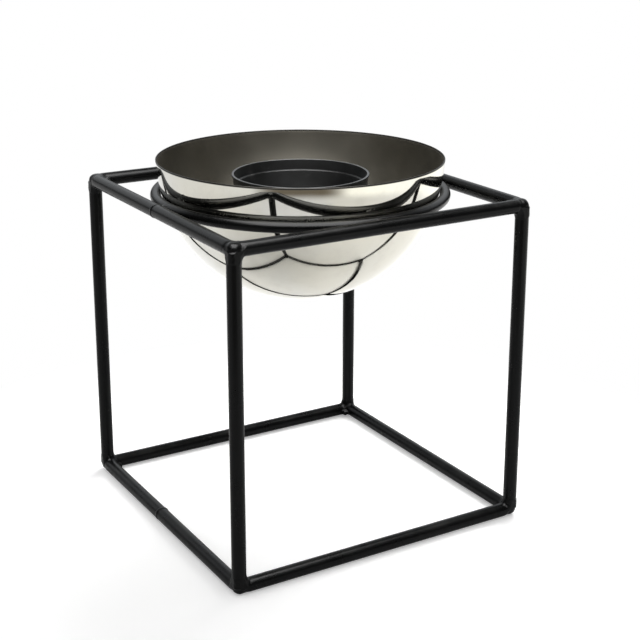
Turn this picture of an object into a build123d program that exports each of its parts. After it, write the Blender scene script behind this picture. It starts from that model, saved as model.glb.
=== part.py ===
from build123d import *
import os
from math import cos, radians, sin, sqrt

# A small plant stand, in millimetres: a cube of welded round steel rod, a bowl of polished steel that lies loose
# in a rod ring inside the top square, and a plastic grow pot that stands loose in the bowl.
# +Z is up, and the origin is on the floor under the middle of the stand.

# Frame
frame_width = 230.0        # between the centrelines of opposite rails
frame_rise = 235.0         # from the base square's centreline up to the top square's
rail_diameter = 10.0
post_diameter = 10.0
corner_bend_radius = 8.0   # of the rail's centreline
post_cope_depth = 3.5      # how far a post's shaped end reaches past the rail's crown
top_seam_offset = 1.0      # from the middle of the left rail to the weld that closes the top square
base_seam_offset = 9.0     # the same in the base square

# Ring that carries the bowl
ring_rod_diameter = 8.0
bowl_rim_above_ring = 26.4  # from the ring's centreline up to the bowl's rim

# Weld beads
corner_bead_radius = 6.6
corner_bead_lift = 2.5     # from the rail's centreline towards the post
overhang_bead_height = 5.0  # the bead under the part of a post that stands outside the bend
overhang_bead_tip = 3.0    # its diameter at the far end
ring_bead_length = 14.0
ring_bead_radius = 3.4
ring_bead_gap = 0.8        # from the line where the ring touches the rail to a bead's edge
seam_bead_width = 4.0
seam_bead_height = 0.6
base_seam_reach = 60.0     # degrees down from the rail's sides; the bead stops short of the floor
top_seam_reach = 130.0     # degrees both ways from the rail's outer side; the bead stops short of the ring's beads

# Bowl
bowl_wall = 1.0
rim_band = 22.0            # the top of the wall, which is straighter than the sphere below it
rim_flare = 0.6            # how far the rim stands outside that sphere
seat_clearance = 0.3       # between the bowl and the ring, and between the pot and the bowl

# Grow pot
pot_height = 85.5
pot_rim_diameter = 101.0
pot_base_diameter = 68.0
pot_wall = 1.0
pot_band_height = 9.0      # the stiff band under the rim
pot_band_step = 1.6        # how far the band stands out from the wall
pot_band_taper = 0.6
pot_lip_height = 1.6
pot_lip_width = 0.7        # how far the lip stands out from the band
pot_foot_height = 3.0      # from the foot's edge up to the underside of the pot's floor
pot_floor = 1.2
pot_edge_radius = 0.4
drain_hole_diameter = 8.0
drain_hole_count = 8
drain_circle_diameter = 46.0
centre_hole_diameter = 10.0
foot_notch_width = 9.0
foot_notch_height = 2.0

# Worked out from the sizes above
half_width = frame_width / 2
rail_radius = rail_diameter / 2
post_radius = post_diameter / 2
ring_rod_radius = ring_rod_diameter / 2
base_level = rail_radius
top_level = base_level + frame_rise
middle_level = (base_level + top_level) / 2
ring_rise = rail_radius - ring_rod_radius  # the ring's top is flush with the rails' tops
ring_level = top_level + ring_rise
ring_reach = sqrt((rail_radius + ring_rod_radius) ** 2 - ring_rise**2)
ring_radius = half_width - ring_reach
rim_level = ring_level + bowl_rim_above_ring
bowl_radius = sqrt(ring_radius**2 + bowl_rim_above_ring**2) - ring_rod_radius - seat_clearance
bowl_inner_radius = bowl_radius - bowl_wall
corner_sides = [(-1, -1), (1, -1), (1, 1), (-1, 1)]


def bent_square(level):
    """A rod bent to a square with round corners and closed into a loop."""
    corners = [(x * half_width, y * half_width) for x, y in corner_sides]
    with BuildPart() as rod:
        with BuildLine(Plane.XY.offset(level)) as path:
            FilletPolyline(corners, radius=corner_bend_radius, close=True)
        loop = path.wire()
        with BuildSketch(Plane(loop @ 0, z_dir=loop % 0)):
            Circle(rail_radius)
        sweep(path=loop)
    return rod.part


def save(piece, name):
    """Labels a finished piece and writes it under its name."""
    piece.label = name
    export_step(piece, f"parts/{name}.step")


os.makedirs("parts", exist_ok=True)

# Squares
with BuildPart() as base_frame:
    add(bent_square(base_level))
save(base_frame.part, "base_frame")

with BuildPart() as top_frame:
    add(bent_square(top_level))
save(top_frame.part, "top_frame")

# Posts: round rod between the squares, on the sharp corners of their centrelines, so each stands a little outside
# the bends, with both ends shaped to the rails
post_foot = base_level + rail_radius - post_cope_depth
post_head = top_level - rail_radius + post_cope_depth
post_names = ["post_front_left", "post_front_right", "post_back_right", "post_back_left"]
posts = []
for post_name, (x_side, y_side) in zip(post_names, corner_sides):
    with BuildPart() as post:
        with BuildSketch(Plane.XY.offset(post_foot)):
            with Locations((x_side * half_width, y_side * half_width)):
                Circle(post_radius)
        extrude(amount=post_head - post_foot)
        add([base_frame.part, top_frame.part], mode=Mode.SUBTRACT)
    save(post.part, post_name)
    posts.append(post.part)

# Ring of thinner rod, touching the middle of each top rail
with BuildPart() as bowl_ring:
    with BuildSketch(Plane.XZ):
        with Locations((ring_radius, ring_level)):
            Circle(ring_rod_radius)
    revolve(axis=Axis.Z)
save(bowl_ring.part, "bowl_ring")

# Corner welds: a rounded bead where the post meets the bend, and a cone that fills the space under the part of
# the post that stands outside the bend
bend_apex = half_width - corner_bend_radius * (1 - cos(radians(45)))
with BuildPart() as base_corner_welds:
    for x_side, y_side in corner_sides:
        with Locations((x_side * bend_apex, y_side * bend_apex, base_level + corner_bead_lift)):
            Sphere(corner_bead_radius)
        with Locations((x_side * half_width, y_side * half_width, post_foot)):
            Cone(
                bottom_radius=overhang_bead_tip / 2,
                top_radius=post_radius,
                height=overhang_bead_height,
                align=(Align.CENTER, Align.CENTER, Align.MAX),
            )
    add([base_frame.part, *posts], mode=Mode.SUBTRACT)
save(base_corner_welds.part, "base_corner_welds")

with BuildPart() as top_corner_welds:
    add(mirror(base_corner_welds.part, about=Plane.XY.offset(middle_level)))
save(top_corner_welds.part, "top_corner_welds")

# Ring welds: a bead above and a bead below each place where the ring touches a rail
touch_share = rail_radius / (rail_radius + ring_rod_radius)
touch_point = (half_width - ring_reach * touch_share, 0, top_level + ring_rise * touch_share)
with BuildPart() as ring_weld_pair:
    with BuildSketch(Plane(touch_point, x_dir=(0, 1, 0), z_dir=(0, 0, 1))):
        with BuildLine():
            crown = ThreePointArc((-ring_bead_length / 2, 0), (0, ring_bead_radius), (ring_bead_length / 2, 0))
            Line(crown @ 1, crown @ 0)
        make_face()
    revolve(axis=Axis(touch_point, (0, 1, 0)))
    with Locations(touch_point):
        Box(ring_bead_length, ring_bead_length, 2 * ring_bead_gap, mode=Mode.SUBTRACT)
    add([top_frame.part, bowl_ring.part], mode=Mode.SUBTRACT)

with BuildPart() as ring_welds:
    with PolarLocations(0, 4):
        add(ring_weld_pair.part)
save(ring_welds.part, "ring_welds")


def seam_bead(level, offset, start_angle, turn):
    """A low collar of weld round the left rail, where the rod's two ends meet. It starts at an angle below the
    rail's outer side and turns over the rail's top."""
    centre = (-half_width, offset, level)
    start_angle = radians(start_angle)
    with BuildPart() as collar:
        with BuildSketch(Plane(centre, x_dir=(0, 1, 0), z_dir=(-sin(start_angle), 0, cos(start_angle)))):
            with BuildLine():
                start = (-seam_bead_width / 2, rail_radius)
                end = (seam_bead_width / 2, rail_radius)
                ThreePointArc(start, (0, rail_radius + seam_bead_height), end)
                Line(end, start)
            make_face()
        revolve(axis=Axis(centre, (0, 1, 0)), revolution_arc=turn)
    return collar.part


with BuildPart() as top_seam_weld:
    add(seam_bead(top_level, top_seam_offset, top_seam_reach, 2 * top_seam_reach))
    add([bowl_ring.part, ring_welds.part], mode=Mode.SUBTRACT)
save(top_seam_weld.part, "top_seam_weld")

with BuildPart() as base_seam_weld:
    add(seam_bead(base_level, base_seam_offset, base_seam_reach, 180 + 2 * base_seam_reach))
save(base_seam_weld.part, "base_seam_weld")

# Bowl: half a sphere of thin sheet that opens out a little towards its cut rim
outer_start = (sqrt(bowl_radius**2 - rim_band**2), rim_level - rim_band)
inner_start = (sqrt(bowl_inner_radius**2 - rim_band**2), rim_level - rim_band)
with BuildPart() as bowl:
    with BuildSketch(Plane.XZ):
        with BuildLine():
            outer_cap = RadiusArc((0, rim_level - bowl_radius), outer_start, -bowl_radius)
            outer_lip = TangentArc(outer_start, (bowl_radius + rim_flare, rim_level), tangent=outer_cap % 1)
            inner_cap = RadiusArc((0, rim_level - bowl_inner_radius), inner_start, -bowl_inner_radius)
            inner_lip = TangentArc(inner_start, (bowl_inner_radius + rim_flare, rim_level), tangent=inner_cap % 1)
            Line(outer_lip @ 1, inner_lip @ 1)
            Line(outer_cap @ 0, inner_cap @ 0)
        make_face()
    revolve(axis=Axis.Z)
save(bowl.part, "bowl")

# Grow pot: a thin tapered wall with a stiff band and a lip, a raised floor with drain holes, and a notched foot
pot_base_radius = pot_base_diameter / 2
pot_rim_radius = pot_rim_diameter / 2
seat_radius = bowl_inner_radius - seat_clearance - pot_edge_radius
pot_level = rim_level - pot_edge_radius - sqrt(seat_radius**2 - (pot_base_radius - pot_edge_radius) ** 2)
pot_top = pot_level + pot_height
band_level = pot_top - pot_band_height
lip_level = pot_top - pot_lip_height
floor_level = pot_level + pot_foot_height
band_top_radius = pot_rim_radius - pot_lip_width
band_foot_radius = band_top_radius - pot_band_taper
wall_top_radius = band_foot_radius - pot_band_step


def pot_wall_radius(level):
    """Outer radius of the tapered wall at a height."""
    share = (level - pot_level) / (band_level - pot_level)
    return pot_base_radius + (wall_top_radius - pot_base_radius) * share


with BuildPart() as grow_pot:
    with BuildSketch(Plane.XZ):
        with BuildLine():
            Polyline(
                (pot_base_radius - pot_wall, pot_level),
                (pot_base_radius, pot_level),
                (wall_top_radius, band_level),
                (band_foot_radius, band_level),
                (band_top_radius, lip_level),
                (pot_rim_radius, lip_level),
                (pot_rim_radius, pot_top),
                (band_top_radius - pot_wall, pot_top),
                (band_foot_radius - pot_wall, band_level + pot_wall),
                (wall_top_radius - pot_wall, band_level + pot_wall),
                (pot_wall_radius(floor_level + pot_floor) - pot_wall, floor_level + pot_floor),
                (0, floor_level + pot_floor),
                (0, floor_level),
                (pot_wall_radius(floor_level) - pot_wall, floor_level),
                close=True,
            )
        profile = make_face()
        outer_corners = [(pot_base_radius, pot_level), (pot_rim_radius, pot_top)]
        rounded = [v for v in profile.vertices() if any(abs(v.X - x) + abs(v.Y - z) < 0.01 for x, z in outer_corners)]
        fillet(rounded, radius=pot_edge_radius)
    revolve(axis=Axis.Z)
    with BuildSketch(Plane.XY.offset(floor_level)):
        Circle(centre_hole_diameter / 2)
        with PolarLocations(drain_circle_diameter / 2, drain_hole_count):
            Circle(drain_hole_diameter / 2)
    extrude(amount=pot_floor, mode=Mode.SUBTRACT)
    with BuildSketch(Plane.XY.offset(pot_level)):
        Rectangle(pot_rim_diameter, foot_notch_width)
        Rectangle(foot_notch_width, pot_rim_diameter)
    extrude(amount=foot_notch_height, mode=Mode.SUBTRACT)
save(grow_pot.part, "grow_pot")

print(f"bowl radius {bowl_radius:.2f}, rim level {rim_level:.2f}, pot from {pot_level:.2f} to {pot_top:.2f}")
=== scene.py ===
from math import atan2, cos, pi, radians, sin, tau

import bmesh
import bpy
import numpy as np
from mathutils import Matrix, Vector


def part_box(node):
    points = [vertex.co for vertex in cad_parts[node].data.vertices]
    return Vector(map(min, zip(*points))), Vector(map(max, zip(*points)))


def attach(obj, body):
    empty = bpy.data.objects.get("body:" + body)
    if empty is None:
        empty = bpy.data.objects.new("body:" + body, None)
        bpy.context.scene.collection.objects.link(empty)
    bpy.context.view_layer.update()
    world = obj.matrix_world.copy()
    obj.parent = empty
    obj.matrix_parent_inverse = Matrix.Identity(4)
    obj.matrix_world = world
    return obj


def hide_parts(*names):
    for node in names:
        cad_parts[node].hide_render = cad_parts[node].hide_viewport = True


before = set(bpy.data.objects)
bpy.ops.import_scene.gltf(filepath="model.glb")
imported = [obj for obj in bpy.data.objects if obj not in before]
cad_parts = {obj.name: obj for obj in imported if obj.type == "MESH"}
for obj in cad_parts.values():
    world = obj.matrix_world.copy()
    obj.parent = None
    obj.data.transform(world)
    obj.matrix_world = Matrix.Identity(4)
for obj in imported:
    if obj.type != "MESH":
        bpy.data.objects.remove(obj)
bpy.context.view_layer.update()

# A small plant stand: a cube of welded black rod, a polished bowl that lies in a rod ring, and a grow pot in the
# bowl. Lengths are in metres.
MM = 0.001

# Sizes read from the fixed frame
_, top_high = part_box("top_frame")
base_low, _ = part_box("base_frame")
ring_low, ring_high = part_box("bowl_ring")
bowl_low, bowl_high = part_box("bowl")
pot_low, pot_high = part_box("grow_pot")
post_low, post_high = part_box("post_front_left")
seam_low, seam_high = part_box("top_seam_weld")
base_seam_low, base_seam_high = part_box("base_seam_weld")
half_width = -(post_low.x + post_high.x) / 2
rail_radius = top_high.x - half_width
top_level = top_high.z - rail_radius
base_level = base_low.z + rail_radius
post_radius = (post_high.x - post_low.x) / 2
ring_rod_radius = (ring_high.z - ring_low.z) / 2
ring_radius = ring_high.x - ring_rod_radius
ring_level = ring_high.z - ring_rod_radius
rim_level = bowl_high.z
bowl_radius = bowl_high.z - bowl_low.z
pot_rim_radius = pot_high.x
pot_foot, pot_top = pot_low.z, pot_high.z

# Sizes that the frame's boxes don't give
bend_radius = 8 * MM
rod_end_ease = 0.5 * MM
weld_fillet = 4 * MM
weld_clearance = 0.05 * MM
seam_height = 0.6 * MM
bowl_wall = 1 * MM
rim_band = 22 * MM
rim_flare = 0.6 * MM
pot_base_radius = 34 * MM
pot_wall = 1 * MM
pot_band_height = 9 * MM
pot_band_step = 1.6 * MM
pot_band_taper = 0.6 * MM
pot_lip_height = 1.6 * MM
pot_lip_width = 0.7 * MM
pot_floor_rise = 3 * MM
pot_floor = 1.2 * MM
drain_hole_radius = 4 * MM
drain_hole_count = 8
drain_circle_radius = 23 * MM
centre_hole_radius = 5 * MM
foot_notch_width = 9 * MM
foot_notch_height = 2 * MM

# How finely the meshes are divided
bend_steps, rail_steps, rail_sides = 20, 36, 56
post_sides = 64
ring_sides, ring_rod_sides = 360, 48
seam_steps, seam_sides = 25, 96
bowl_sides, bowl_steps, bowl_lip_steps, bowl_edge_steps = 384, 110, 8, 8
pot_sides, pot_wall_steps = 288, 12
pot_floor_sides, centre_hole_sides, drain_hole_sides = 192, 48, 40
sharp_angle = radians(50)

# Camera, fitted to the lines of the rods; its angles are in degrees
camera_place = (-0.4828, -0.8331, 0.4659)
camera_heading, camera_tilt_down, camera_roll = -30.95, 15.92, 0.09
camera_sensor, camera_lens, camera_shift = 36, 75.42, -0.1
camera_near, camera_far = 0.05, 50

# Lamps: a key light for matt surfaces, and a panel overhead that is only seen in reflections
lamp_target = (0, 0, 0.1)
key_place, key_side, key_radiance = (0.7, 0.45, 1.15), 0.8, 7.5
panel_place, panel_side, panel_radiance = (-0.22, -0.42, 1.4), 1.6, 17.0

# Surroundings. Each pair says where a change begins and where it is complete. For the sky it is the height of a
# direction, for a spread how far a direction agrees with the side named above it, and for a fade the distance on
# the floor from the stand's middle.
WHITE = (1, 1, 1, 1)
sky_light = 0.8
ceiling_colour = (0.035, 0.034, 0.03, 1)
ceiling_height = (-0.02, 0.1)
backdrop_colour = (1.5, 1.55, 1.6, 1)
backdrop_side = (0.5, 0.866, 0)
backdrop_spread = (0.15, 0.5)
backdrop_bottom = (0.1, 0.3)
backdrop_top = (0.75, 0.5)
floor_half_side = 6.0
floor_drop = 0.1 * MM
floor_shade = 0.85
floor_lift = 0.3
floor_seen_fade = (0.24, 0.36)
floor_mirrored_fade = (0.6, 0.75)
bright_floor = (1.6, 1.6, 1.55, 1)
bright_side = (0.858, -0.514, 0)
bright_spread = (0.3, 0.7)
dim_floor = (0.2, 0.17, 0.13, 1)
dim_side = (-0.501, -0.865, 0)
dim_spread = (0.78, 0.97)


# Camera and light
def make_camera():
    """The photograph's viewing angle, with the lens shifted down a little."""
    data = bpy.data.cameras.new("camera")
    data.sensor_width = camera_sensor
    data.lens = camera_lens
    data.shift_y = camera_shift
    data.clip_start, data.clip_end = camera_near, camera_far
    camera = bpy.data.objects.new("camera", data)
    camera.matrix_world = (
        Matrix.Translation(camera_place)
        @ Matrix.Rotation(radians(camera_heading), 4, "Z")
        @ Matrix.Rotation(radians(90 - camera_tilt_down), 4, "X")
        @ Matrix.Rotation(radians(camera_roll), 4, "Z")
    )
    bpy.context.scene.collection.objects.link(camera)
    bpy.context.scene.camera = camera


def make_softbox(name, place, side, radiance, matt=True, gloss=True):
    """A square lamp that faces the stand, for matt light, for reflections or for both. Radiance is how bright its
    face looks."""
    data = bpy.data.lights.new(name, "AREA")
    data.shape = "RECTANGLE"
    data.size, data.size_y = side, side
    data.energy = radiance * pi * side * side
    lamp = bpy.data.objects.new(name, data)
    lamp.location = place
    lamp.rotation_mode = "QUATERNION"
    lamp.rotation_quaternion = (Vector(place) - Vector(lamp_target)).to_track_quat("Z", "Y")
    lamp.visible_camera = False
    lamp.visible_diffuse = matt
    lamp.visible_glossy = gloss
    bpy.context.scene.collection.objects.link(lamp)


# Shader building
class Value:
    """A node's output. Plain arithmetic on it adds Math nodes to its tree."""

    def __init__(self, shader, socket):
        self.shader = shader
        self.socket = socket

    def __getitem__(self, name):
        """Another output of the same node."""
        return Value(self.shader, self.socket.node.outputs[name])

    def math(self, operation, *values):
        return self.shader.node("ShaderNodeMath", {"operation": operation}, dict(enumerate((self, *values))))

    def clamp(self):
        return self.shader.node("ShaderNodeClamp", {}, {"Value": self})

    def __add__(self, other):
        return self.math("ADD", other)

    def __mul__(self, other):
        return self.math("MULTIPLY", other)

    def __rsub__(self, other):
        return self * -1 + other

    __radd__ = __add__
    __rmul__ = __mul__


class Shader:
    """A node tree, and short ways to add nodes to it."""

    def __init__(self, owner):
        owner.use_nodes = True
        self.tree = owner.node_tree
        self.tree.nodes.clear()

    def node(self, kind, settings=None, sockets=None):
        """Adds a node, sets it, then fills its sockets, and gives its first output."""
        made = self.tree.nodes.new(kind)
        for name, value in (settings or {}).items():
            setattr(made, name, value)
        for name, value in (sockets or {}).items():
            if isinstance(value, Value):
                self.tree.links.new(value.socket, made.inputs[name])
            else:
                made.inputs[name].default_value = value
        return Value(self, made.outputs[0]) if made.outputs else None

    def noise(self, where, scale, detail=2.0, roughness=0.5, distortion=0.0):
        """Smooth noise with about scale features per metre."""
        sockets = {
            "Vector": where,
            "Scale": scale,
            "Detail": detail,
            "Roughness": roughness,
            "Distortion": distortion,
        }
        return self.node("ShaderNodeTexNoise", {}, sockets)

    def vector_math(self, operation, first, second):
        return self.node("ShaderNodeVectorMath", {"operation": operation}, {0: first, 1: second})

    def stretched(self, where, x, y, z):
        """A position scaled along each axis."""
        return self.vector_math("MULTIPLY", where, (x, y, z))

    def dot(self, first, second):
        """How far one vector goes along another."""
        return self.vector_math("DOT_PRODUCT", first, second)["Value"]

    def height(self, vector):
        """A vector's upright part."""
        return self.node("ShaderNodeSeparateXYZ", {}, {0: vector})["Z"]

    def mixed(self, share, first, second):
        """A colour between two colours."""
        return self.node("ShaderNodeMix", {"data_type": "RGBA"}, {0: share, 6: first, 7: second})[2]

    def ramp(self, value, low, high):
        """0 up to low and 1 from high on, eased between. High may be the smaller one."""
        settings = {"interpolation_type": "SMOOTHSTEP"}
        return self.node("ShaderNodeMapRange", settings, {0: value, 1: low, 2: high})

    def bump(self, height, distance, strength=1.0, normal=None):
        sockets = {"Height": height, "Distance": distance, "Strength": strength}
        if normal:
            sockets["Normal"] = normal
        return self.node("ShaderNodeBump", {}, sockets)

    def surface(self, look):
        """Gives the material one principled surface."""
        out = self.node("ShaderNodeBsdfPrincipled", {}, look)
        self.node("ShaderNodeOutputMaterial", {}, {"Surface": out})


def new_material(name):
    """An empty material and the shader that fills it."""
    material = bpy.data.materials.new(name)
    return material, Shader(material)


def painted_metal(name, lumpy=False):
    """Black satin paint on rod: fine orange peel, slow changes of gloss, and dust on what faces up. Lumpy paint
    covers weld."""
    deep_black, thin_black = (0.0016, 0.0018, 0.0019, 1), (0.0035, 0.0037, 0.0038, 1)
    dust_grey = (0.1, 0.098, 0.092, 1)
    material, shader = new_material(name)
    where = shader.node("ShaderNodeTexCoord")["Object"]
    up = shader.height(shader.node("ShaderNodeNewGeometry")["Normal"])
    patches = shader.noise(where, scale=45, detail=3)
    grain = shader.noise(where, scale=900, detail=3, roughness=0.6)
    specks = shader.ramp(shader.noise(where, scale=1500), 0.62, 0.72)
    dust = shader.ramp(up, 0.2, 1) * shader.ramp(patches, 0.4, 0.75) * (grain * 0.5 + 0.5)
    black = shader.mixed(patches, deep_black, thin_black)
    orange_peel = grain * 0.4 + shader.noise(where, scale=330) * 0.6
    normal = shader.bump(orange_peel, distance=0.03 * MM, strength=0.2)
    if lumpy:
        weld_ripple = shader.noise(where, scale=420, detail=3, roughness=0.6, distortion=0.6)
        normal = shader.bump(weld_ripple, distance=0.35 * MM, strength=0.5, normal=normal)
    look = {
        "Base Color": shader.mixed(dust * 0.1 + specks * dust * 0.12, black, dust_grey),
        "Roughness": patches * 0.06 + grain * 0.02 + dust * 0.05 + 0.24,
        "Specular IOR Level": 0.1,
        "Normal": normal,
    }
    shader.surface(look)
    return material


def polished_steel(name):
    """Mirror polished sheet, hazy in patches, with a faint drift of colour and the last traces of spinning marks.
    The inside is satin, and its colour is darkened as painted shade; the rim's edge is painted shade, nearly black."""
    warm_steel, cool_steel, mottled_steel = (0.66, 0.64, 0.56, 1), (0.65, 0.645, 0.605, 1), (0.55, 0.53, 0.465, 1)
    # Painted shade: the inside is darkened for the shade in the bowl's hollow, and the rim's edge to nearly black
    inside_painted_shade, rim_edge_painted_shade = (0.17, 0.16, 0.135, 1), (0.02, 0.019, 0.017, 1)
    material, shader = new_material(name)
    coordinates = shader.node("ShaderNodeTexCoord")
    where = shader.vector_math("SUBTRACT", coordinates["Object"], (0, 0, rim_level))
    drift = shader.noise(where, scale=11)
    mottle = shader.noise(where, scale=85, detail=4, roughness=0.6)
    haze = shader.ramp(shader.noise(where, scale=26, detail=3), 0.45, 0.8)
    rings = shader.noise(shader.stretched(where, 8, 8, 2600), scale=1)
    inside = shader.ramp(shader.dot(where, coordinates["Normal"]), 0, -0.01)
    edge = shader.ramp(shader.height(where), -1.5 * MM, -0.9 * MM)
    colour = shader.mixed(shader.ramp(drift, 0.35, 0.65), warm_steel, cool_steel)
    colour = shader.mixed(shader.ramp(mottle, 0.45, 0.7) * 0.35, colour, mottled_steel)
    # Painted shade inside the bowl, on top of its real satin roughness
    colour = shader.mixed(inside, colour, inside_painted_shade)
    waves = shader.noise(where, scale=34) * 0.8 + rings * 0.01
    look = {
        # Painted shade: the rim's top millimetre and a half is darkened to nearly black
        "Base Color": shader.mixed(edge, colour, rim_edge_painted_shade),
        "Metallic": 1.0,
        "Roughness": haze * 0.05 + mottle * 0.02 + rings * 0.015 + inside * 0.28 + edge * 0.4 + 0.02,
        "Normal": shader.bump(waves, distance=0.06 * MM, strength=0.5),
    }
    shader.surface(look)
    return material


def pot_plastic(name):
    """Thin moulded black plastic: a soft sheen, drawn lines down the wall and a few dry water marks."""
    deep_black, worn_black = (0.007, 0.0075, 0.0075, 1), (0.014, 0.015, 0.015, 1)
    water_mark = (0.09, 0.088, 0.08, 1)
    material, shader = new_material(name)
    where = shader.node("ShaderNodeTexCoord")["Object"]
    patches = shader.noise(where, scale=60, detail=3)
    lines = shader.noise(shader.stretched(where, 700, 700, 25), scale=1, detail=3)
    grain = shader.noise(where, scale=1300)
    marks = shader.ramp(shader.noise(where, scale=120, detail=5, roughness=0.65), 0.6, 0.75)
    black = shader.mixed(patches, deep_black, worn_black)
    look = {
        "Base Color": shader.mixed(marks * 0.25, black, water_mark),
        "Roughness": patches * 0.16 + marks * 0.12 + grain * 0.06 + 0.24,
        "Specular IOR Level": 0.45,
        "Normal": shader.bump(lines * 0.5 + grain * 0.5, distance=0.06 * MM, strength=0.5),
    }
    shader.surface(look)
    return material


def make_surroundings():
    """A sky that is white to the camera and even for matt light. Reflections see it white near the floor, dim
    overhead, and bright where a backdrop stands behind the object."""
    world = bpy.data.worlds.new("studio")
    bpy.context.scene.world = world
    shader = Shader(world)
    ray = shader.node("ShaderNodeLightPath")
    direction = shader.node("ShaderNodeTexCoord")["Generated"]
    height = shader.height(direction)
    backdrop = shader.ramp(shader.dot(direction, backdrop_side), *backdrop_spread)
    backdrop *= shader.ramp(height, *backdrop_bottom) * shader.ramp(height, *backdrop_top)
    reflected = shader.mixed(shader.ramp(height, *ceiling_height), WHITE, ceiling_colour)
    reflected = shader.mixed(backdrop, reflected, backdrop_colour)
    seen = (ray["Is Camera Ray"] + ray["Is Transmission Ray"]).clamp()
    colour = shader.mixed(ray["Is Glossy Ray"], (sky_light, sky_light, sky_light, 1), reflected)
    sky = shader.node("ShaderNodeBackground", {}, {"Color": shader.mixed(seen, colour, WHITE)})
    shader.node("ShaderNodeOutputWorld", {}, {"Surface": sky})


def make_floor():
    """A pale floor that takes the object's soft shadow and fades to plain white close round it. In reflections it
    goes on further, and is then bright to one side and dim towards the camera."""
    material, shader = new_material("floor_white")
    ray = shader.node("ShaderNodeLightPath")
    seen, mirrored = ray["Is Camera Ray"], ray["Is Glossy Ray"]
    where = shader.node("ShaderNodeTexCoord")["Object"]
    distance = shader.node("ShaderNodeVectorMath", {"operation": "LENGTH"}, {0: where})["Value"]
    direction = shader.node("ShaderNodeVectorMath", {"operation": "NORMALIZE"}, {0: where})
    far = shader.mixed(shader.ramp(shader.dot(direction, bright_side), *bright_spread), WHITE, bright_floor)
    far = shader.mixed(shader.ramp(shader.dot(direction, dim_side), *dim_spread), far, dim_floor)
    far = shader.mixed(mirrored, WHITE, far)
    not_matt = (seen + mirrored + ray["Is Transmission Ray"]).clamp()
    near_fade = shader.ramp(distance, *floor_seen_fade) * not_matt
    far_fade = shader.ramp(distance, *floor_mirrored_fade)
    paper = shader.node("ShaderNodeBsdfDiffuse", {}, {"Color": (floor_shade, floor_shade, floor_shade, 1)})
    lift = shader.node("ShaderNodeEmission", {}, {"Color": WHITE, "Strength": seen * floor_lift})
    lit = shader.node("ShaderNodeAddShader", {}, {0: paper, 1: lift})
    plain = shader.node("ShaderNodeEmission", {}, {"Color": far, "Strength": 1.0})
    fade = near_fade * (1 - mirrored) + far_fade * mirrored
    mixed = shader.node("ShaderNodeMixShader", {}, {0: fade, 1: lit, 2: plain})
    shader.node("ShaderNodeOutputMaterial", {}, {"Surface": mixed})
    mesh = bpy.data.meshes.new("floor")
    side = floor_half_side
    outline = [(-side, -side, 0), (side, -side, 0), (side, side, 0), (-side, side, 0)]
    mesh.from_pydata(outline, [], [(0, 1, 2, 3)])
    mesh.materials.append(material)
    floor = bpy.data.objects.new("floor", mesh)
    floor.location.z = -floor_drop
    bpy.context.scene.collection.objects.link(floor)


# Mesh building: a shape is a pair of points and faces
def lattice(rows, columns, loop_rows=False, loop_columns=False):
    """Four-sided faces over rows of points; a looped side joins its last line of points to its first."""
    row, column = np.meshgrid(
        np.arange(rows if loop_rows else rows - 1),
        np.arange(columns if loop_columns else columns - 1),
        indexing="ij",
    )
    next_row, next_column = (row + 1) % rows, (column + 1) % columns
    around = [row * columns + column, row * columns + next_column]
    around += [next_row * columns + next_column, next_row * columns + column]
    return np.stack(around, -1).reshape(-1, 4).tolist()


def turned(profile, sides, axis=(0, 0)):
    """A profile of (radius, height) points, turned about an upright axis. An end on the axis becomes one point;
    a profile that ends off the axis is closed onto its start."""
    on_axis = 1e-9
    profile = np.array(profile, float)
    poles = [i for i in (0, len(profile) - 1) if profile[i, 0] < on_axis]
    body = np.delete(profile, poles, 0)
    angle = np.linspace(0, tau, sides, endpoint=False)
    x = axis[0] + body[:, :1] * np.cos(angle)
    y = axis[1] + body[:, :1] * np.sin(angle)
    z = np.repeat(body[:, 1:], sides, 1)
    points = np.stack([x, y, z], -1).reshape(-1, 3)
    faces = lattice(len(body), sides, not poles, True)
    for pole in poles:
        row = 0 if pole == 0 else len(body) - 1
        tip = len(points)
        points = np.vstack([points, (*axis, profile[pole, 1])])
        ring = [row * sides + i for i in range(sides)]
        pairs = zip(ring, ring[1:] + ring[:1])
        faces += [(tip, b, a) if pole == 0 else (a, b, tip) for a, b in pairs]
    return points, faces


def arc(centre, radius, start, end, steps):
    """Points on an arc in a profile, ends included; angles in degrees from the level."""
    angles = np.radians(np.linspace(start, end, steps + 1))
    return [(centre[0] + radius * cos(a), centre[1] + radius * sin(a)) for a in angles]


def tangent_arc(start, heading, end, steps):
    """Points on the arc that leaves start along heading, an angle in degrees, and reaches end."""
    along = np.array([cos(radians(heading)), sin(radians(heading))])
    side = np.array([-along[1], along[0]])
    chord = np.subtract(end, start)
    radius = chord @ chord / (2 * chord @ side)
    turn = 2 * atan2(chord @ side, chord @ along)
    places = []
    for step in range(steps + 1):
        a = turn * step / steps
        places.append(tuple(start + radius * (side * (1 - cos(a)) + along * sin(a))))
    return places


def rounded_square(reach, bend):
    """A square path with round corners: its points and the angle that faces out at each."""
    places, facing = [], []
    corners = [np.array(corner) * (reach - bend) for corner in ((1, 1), (-1, 1), (-1, -1), (1, -1))]
    for quarter, middle in enumerate(corners):
        for angle in np.radians(quarter * 90 + np.linspace(0, 90, bend_steps + 1)):
            places.append(middle + bend * np.array([cos(angle), sin(angle)]))
            facing.append(angle)
        bend_end, out = places[-1], facing[-1]
        to_next = corners[(quarter + 1) % 4] - middle
        for share in np.linspace(0, 1, rail_steps, endpoint=False)[1:]:
            places.append(bend_end + to_next * share)
            facing.append(out)
    return np.array(places), np.array(facing)


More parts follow.
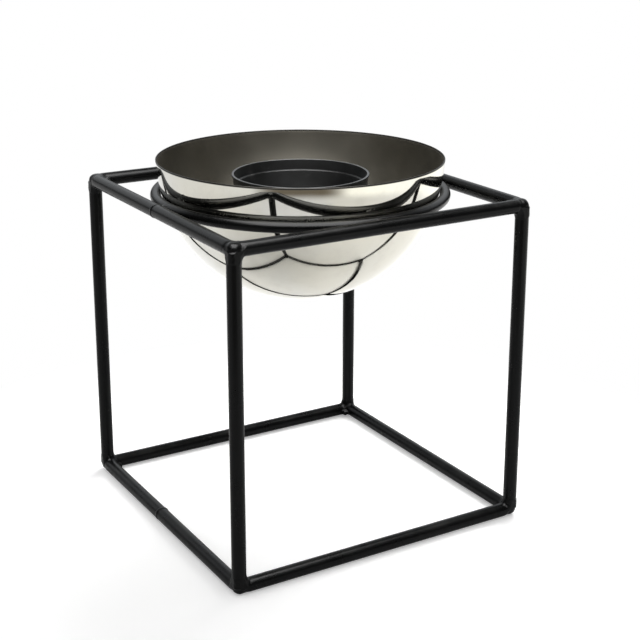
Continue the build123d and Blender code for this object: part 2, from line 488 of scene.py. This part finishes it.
def rod_square(level):
    """The rod of one bent square."""
    places, facing = rounded_square(half_width, bend_radius)
    around = np.linspace(0, tau, rail_sides, endpoint=False)
    out = np.stack([np.cos(facing), np.sin(facing)], -1)
    reach = rail_radius * np.cos(around)
    x = places[:, :1] + out[:, :1] * reach
    y = places[:, 1:] + out[:, 1:] * reach
    z = np.broadcast_to(level + rail_radius * np.sin(around), x.shape)
    return np.stack([x, y, z], -1).reshape(-1, 3), lattice(len(places), rail_sides, True, True)


# Distance fields: how far points are from a rod's skin, and less than 0 inside it. The weld beads come from them.
def square_distance(points, level):
    inset = np.abs(points[:, :2]) - (half_width - bend_radius)
    across = np.linalg.norm(np.maximum(inset, 0), axis=1) + np.minimum(inset.max(1), 0)
    return np.hypot(across - bend_radius, points[:, 2] - level) - rail_radius


def post_distance(points):
    across = np.hypot(*(np.abs(points[:, :2]) - half_width).T) - post_radius
    return np.maximum(across, np.maximum(points[:, 2] - post_high.z, post_low.z - points[:, 2]))


def ring_distance(points):
    across = np.hypot(points[:, 0], points[:, 1]) - ring_radius
    return np.hypot(across, points[:, 2] - ring_level) - ring_rod_radius


def melted(first, second, width):
    """Two distances joined with a fillet."""
    overlap = np.maximum(width - np.abs(first - second), 0) / width
    return np.minimum(first, second) - overlap**2 * width / 4


def faded(distance, start, length, depth):
    """How deep a bead's skin is sunk: not at all up to start, then down to depth over length."""
    return np.clip((distance - start) / length, 0, 1) * depth


def lumps(points, size, seed, waves=7):
    """Smooth unevenness between about -1 and 1, with features of one size."""
    random = np.random.default_rng(seed)
    total = np.zeros(len(points))
    for _ in range(waves):
        heading = random.normal(size=3)
        heading *= tau / (size * np.linalg.norm(heading))
        total += np.sin(points @ heading + random.uniform(0, tau))
    return total / (waves / 2)


def bead(centre, reach, distance, fineness=6):
    """The skin of a weld, found by walking out from its centre until the distance field turns positive."""
    walk_steps, step_share = 60, 0.9
    ball = bmesh.new()
    bmesh.ops.create_icosphere(ball, subdivisions=fineness, radius=1)
    headings = np.array([v.co for v in ball.verts])
    headings /= np.linalg.norm(headings, axis=1)[:, None]
    faces = [[v.index for v in f.verts] for f in ball.faces]
    ball.free()
    far = np.zeros(len(headings))
    for _ in range(walk_steps):
        inside = np.maximum(-distance(centre + headings * far[:, None]), 0)
        far = np.minimum(far + inside * step_share, reach)
    return centre + headings * far[:, None], faces


def corner_weld(x_side, y_side, level, towards_post, seed):
    """Fillet between a post and a bend, with a round cap that carries the post's line past the outside of the bend
    and a blob on the inside of it."""
    cap_radius, cap_fillet = 4.5 * MM, 2.5 * MM
    cap_past_level, cap_up_post = 0.4 * MM, 6 * MM
    blob_radius, blob_fillet = 2.6 * MM, 2 * MM
    blob_inset, blob_past_level = 0.5 * MM, 1.5 * MM
    centre_inset, centre_up_post, reach = 1.2 * MM, 2 * MM, 12 * MM
    least_sunk, ripple_size, ripple_height = 0.07 * MM, 4 * MM, 0.09 * MM

    sides = np.array([x_side, y_side])
    centre = np.array([*sides * (half_width - centre_inset), level + towards_post * centre_up_post])
    post_axis = sides * half_width
    cap_span = sorted((level - towards_post * cap_past_level, level + towards_post * cap_up_post))
    blob_middle = np.array([*sides * (half_width - bend_radius + blob_inset), level - towards_post * blob_past_level])

    def distance(points):
        rods = melted(square_distance(points, level), post_distance(points), weld_fillet)
        past_cap = points[:, 2] - np.clip(points[:, 2], *cap_span)
        cap = np.hypot(np.hypot(*(points[:, :2] - post_axis).T), past_cap) - cap_radius
        blob = np.linalg.norm(points - blob_middle, axis=1) - blob_radius
        skin = melted(melted(rods, cap, cap_fillet), blob, blob_fillet)
        from_centre = np.linalg.norm(points - centre, axis=1)
        sunk = least_sunk + faded(from_centre, start=9 * MM, length=2.5 * MM, depth=1.2 * MM)
        return skin + sunk + lumps(points, ripple_size, seed) * ripple_height

    points, faces = bead(centre, reach, distance)
    outer_side = half_width + min(rail_radius, post_radius) - weld_clearance
    points[:, :2] = np.clip(points[:, :2], -outer_side, outer_side)
    points[:, 2] = np.clip(points[:, 2], base_low.z + weld_clearance, top_high.z - weld_clearance)
    return points, faces


def ring_weld(quarter, seed):
    """Fillets above and below the line where the ring touches the middle of a top rail."""
    rods_fillet, seam_fillet = 2.6 * MM, 1.2 * MM
    seam_radius, seam_half_length, reach = 3.1 * MM, 7 * MM, 8 * MM
    least_sunk, ripple_size, ripple_height = 0.06 * MM, 3 * MM, 0.12 * MM

    angle = quarter * pi / 2
    rail_share = rail_radius / (rail_radius + ring_rod_radius)
    touch = half_width - (half_width - ring_radius) * rail_share
    level = top_level + (ring_level - top_level) * rail_share
    centre = np.array([cos(angle) * touch, sin(angle) * touch, level])
    along = np.array([-sin(angle), cos(angle), 0])

    def distance(points):
        rods = melted(square_distance(points, top_level), ring_distance(points), rods_fillet)
        offset = points - centre
        run = offset @ along
        core = np.linalg.norm(offset - run[:, None] * along, axis=1)
        seam = core - seam_radius * np.sqrt(np.maximum(1 - (run / seam_half_length) ** 2, 0))
        sunk = least_sunk + faded(np.abs(run), start=4 * MM, length=3 * MM, depth=1.4 * MM)
        return melted(rods, seam, seam_fillet) + sunk + lumps(points, ripple_size, seed) * ripple_height

    return bead(centre, reach, distance, fineness=5)


def seam_collar(middle_y, level, width, seed, clear_of_floor=False):
    """A low uneven collar round the left rail where the rod's two ends meet. One that is clear of the floor fades
    out at the bottom of the rail."""
    sunk, ripple_size = 0.1 * MM, 5 * MM
    even_share, ripple_share, highest_share = 0.8, 0.35, 0.98
    bare_below, full_above = -0.9, -0.3
    along = np.linspace(-1, 1, seam_steps)
    around = np.linspace(0, tau, seam_sides, endpoint=False)
    run, turn = np.meshgrid(along, around, indexing="ij")
    points = np.stack([-half_width + np.cos(turn), middle_y + run * width / 2, np.sin(turn)], -1).reshape(-1, 3)
    ripple = lumps(points * 4 * MM, ripple_size, seed)
    swell = np.cos(run * pi / 2).ravel() * seam_height * (even_share + ripple_share * ripple)
    if clear_of_floor:
        swell *= np.clip((points[:, 2] - bare_below) / (full_above - bare_below), 0, 1)
    size = rail_radius - sunk + np.clip(swell, 0, seam_height * highest_share)
    points[:, 0] = -half_width + (points[:, 0] + half_width) * size
    points[:, 2] = level + points[:, 2] * size
    faces = lattice(len(along), len(around), False, True)
    ends = [list(range(len(around))), list(range(len(points) - len(around), len(points)))[::-1]]
    return points, faces + ends


def joined(shapes):
    """Several shapes as one."""
    points, faces = [], []
    for shape_points, shape_faces in shapes:
        start = sum(len(p) for p in points)
        points.append(shape_points)
        faces += [[i + start for i in face] for face in shape_faces]
    return np.vstack(points), faces


def add_piece(name, shape, material, body, nodes):
    """Makes a smooth mesh that stands for CAD nodes and rides on their body."""
    points, faces = shape
    mesh = bpy.data.meshes.new(name)
    mesh.from_pydata([tuple(p) for p in points], [], faces)
    mesh.validate()
    outward = bmesh.new()
    outward.from_mesh(mesh)
    bmesh.ops.recalc_face_normals(outward, faces=outward.faces)
    outward.to_mesh(mesh)
    outward.free()
    mesh.shade_smooth()
    mesh.set_sharp_from_angle(angle=sharp_angle)
    mesh.materials.append(material)
    piece = bpy.data.objects.new(name, mesh)
    bpy.context.scene.collection.objects.link(piece)
    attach(piece, body)
    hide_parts(*nodes)


def rounded_rod(foot, head, radius, ease, ease_steps=6):
    """Half the outline of an upright rod with eased ends."""
    return [
        (0, foot),
        *arc((radius - ease, foot + ease), ease, -90, 0, ease_steps),
        *arc((radius - ease, head - ease), ease, 0, 90, ease_steps),
        (0, head),
    ]


def bowl_outline():
    """The bowl's section: half a sphere of thin sheet, turned out a little and rounded at its rim."""
    inner_radius = bowl_radius - bowl_wall
    half_sheet = bowl_wall / 2
    rim_middle = bowl_radius + rim_flare - half_sheet
    sides = []
    for radius, offset in ((bowl_radius, half_sheet), (inner_radius, -half_sheet)):
        turn_out = -np.degrees(np.arcsin(rim_band / radius))
        cap = arc((0, rim_level), radius, -90, turn_out, bowl_steps)
        cap[0] = (0, cap[0][1])
        start = cap.pop()
        lip_end = (rim_middle + offset, rim_level - half_sheet)
        lip = tangent_arc(start, turn_out + 90, lip_end, bowl_lip_steps)
        sides.append(cap + lip)
    edge = arc((rim_middle, rim_level - half_sheet), half_sheet, 0, 180, bowl_edge_steps)[1:-1]
    return sides[0] + edge + sides[1][::-1]


def pot_radius(level):
    """Outer radius of the pot's tapered wall."""
    band_level = pot_top - pot_band_height
    wall_top = pot_rim_radius - pot_lip_width - pot_band_taper - pot_band_step
    return pot_base_radius + (wall_top - pot_base_radius) * (level - pot_foot) / (band_level - pot_foot)


def pot_shell():
    """The pot's wall with its band, rolled lip and notched foot."""
    band_level, lip_level = pot_top - pot_band_height, pot_top - pot_lip_height
    band_top = pot_rim_radius - pot_lip_width
    band_foot = band_top - pot_band_taper
    wall_top = band_foot - pot_band_step
    soft = 0.35 * MM
    outer_levels = np.linspace(pot_foot + 4 * MM, band_level - soft, pot_wall_steps)
    inner_levels = np.linspace(band_level - 2 * MM, pot_foot + 2 * MM, pot_wall_steps)
    outline = [
        (pot_base_radius - pot_wall, pot_foot + soft),
        *arc((pot_base_radius - soft, pot_foot + soft), soft, -90, 0, 4),
        *[(pot_radius(z), z) for z in outer_levels],
        *arc((band_foot - soft, band_level + soft), soft, -90, 0, 4),
        (band_top, lip_level),
        *arc((pot_rim_radius - soft, lip_level + soft), soft, -90, 0, 4),
        *arc((pot_rim_radius - soft, pot_top - soft), soft, 0, 90, 5),
        *arc((band_top - pot_wall + soft, pot_top - soft), soft, 90, 180, 5),
        (band_foot - pot_wall, band_level + pot_wall + soft),
        *arc((wall_top - pot_wall + soft, band_level + pot_wall - soft), soft, 90, 180, 4),
        *[(pot_radius(z) - pot_wall, z) for z in inner_levels],
    ]
    points, faces = turned(outline, pot_sides)
    across = np.minimum(np.abs(points[:, 0]), np.abs(points[:, 1]))
    in_notch = (points[:, 2] < pot_foot + foot_notch_height) & (across < foot_notch_width / 2)
    points[in_notch, 2] = pot_foot + foot_notch_height
    return points, faces


def pot_base():
    """The pierced floor: a round plate with drain holes, filled between its circles."""
    curve = bpy.data.curves.new("pot_base", "CURVE")
    curve.dimensions, curve.fill_mode, curve.extrude = "2D", "BOTH", pot_floor / 2
    level = pot_foot + pot_floor_rise + pot_floor / 2
    circles = [
        ((0, 0), pot_radius(level) - pot_wall / 2, pot_floor_sides),
        ((0, 0), centre_hole_radius, centre_hole_sides),
    ]
    for hole in range(drain_hole_count):
        turn = tau * hole / drain_hole_count
        middle = (drain_circle_radius * cos(turn), drain_circle_radius * sin(turn))
        circles.append((middle, drain_hole_radius, drain_hole_sides))
    for (x, y), radius, sides in circles:
        spline = curve.splines.new("POLY")
        spline.points.add(sides - 1)
        for point, turn in zip(spline.points, np.linspace(0, tau, sides, endpoint=False)):
            point.co = (x + radius * cos(turn), y + radius * sin(turn), 0, 1)
        spline.use_cyclic_u = True
    plate = bpy.data.objects.new("pot_base", curve)
    mesh = bpy.data.meshes.new_from_object(plate)
    bpy.data.objects.remove(plate)
    bpy.data.curves.remove(curve)
    whole = bmesh.new()
    whole.from_mesh(mesh)
    bmesh.ops.remove_doubles(whole, verts=whole.verts, dist=0.01 * MM)
    points = np.array([(v.co.x, v.co.y, v.co.z + level) for v in whole.verts])
    whole.verts.index_update()
    faces = [[v.index for v in face.verts] for face in whole.faces]
    whole.free()
    bpy.data.meshes.remove(mesh)
    return points, faces


make_camera()
make_surroundings()
make_floor()
make_softbox("key_softbox", key_place, key_side, key_radiance, gloss=False)
make_softbox("overhead_panel", panel_place, panel_side, panel_radiance, matt=False)

paint = painted_metal("black_paint")
weld_paint = painted_metal("black_paint_on_weld", lumpy=True)
steel = polished_steel("polished_steel")
plastic = pot_plastic("black_plastic")

add_piece("top_square", rod_square(top_level), paint, "stand", ["top_frame"])
add_piece("base_square", rod_square(base_level), paint, "stand", ["base_frame"])
posts = {"front_left": (-1, -1), "front_right": (1, -1), "back_right": (1, 1), "back_left": (-1, 1)}
post_outline = rounded_rod(post_low.z, post_high.z, post_radius, rod_end_ease)
for word, (x_side, y_side) in posts.items():
    post = turned(post_outline, post_sides, (x_side * half_width, y_side * half_width))
    add_piece(f"post_{word}_rod", post, paint, "stand", [f"post_{word}"])
ring_outline = arc((ring_radius, ring_level), ring_rod_radius, 0, 360, ring_rod_sides)[:-1]
add_piece("ring_rod", turned(ring_outline, ring_sides), paint, "stand", ["bowl_ring"])

# Each weld has its own seed for its unevenness
for name, level, towards_post in (("base", base_level, 1), ("top", top_level, -1)):
    beads = joined([corner_weld(x, y, level, towards_post, 3 * x + y + 10) for x, y in posts.values()])
    add_piece(f"{name}_corner_beads", beads, weld_paint, "stand", [f"{name}_corner_welds"])
ring_beads = joined([ring_weld(quarter, 20 + quarter) for quarter in range(4)])
add_piece("ring_beads", ring_beads, weld_paint, "stand", ["ring_welds"])
for name, (low, high), level in (
    ("top", (seam_low, seam_high), top_level),
    ("base", (base_seam_low, base_seam_high), base_level),
):
    collar = seam_collar((low.y + high.y) / 2, level, high.y - low.y, 7, clear_of_floor=name == "base")
    add_piece(f"{name}_seam_bead", collar, weld_paint, "stand", [f"{name}_seam_weld"])

add_piece("steel_bowl", turned(bowl_outline(), bowl_sides), steel, "bowl", ["bowl"])
add_piece("nursery_pot", joined([pot_shell(), pot_base()]), plastic, "pot", ["grow_pot"])

bpy.context.scene.view_settings.view_transform = "Standard"
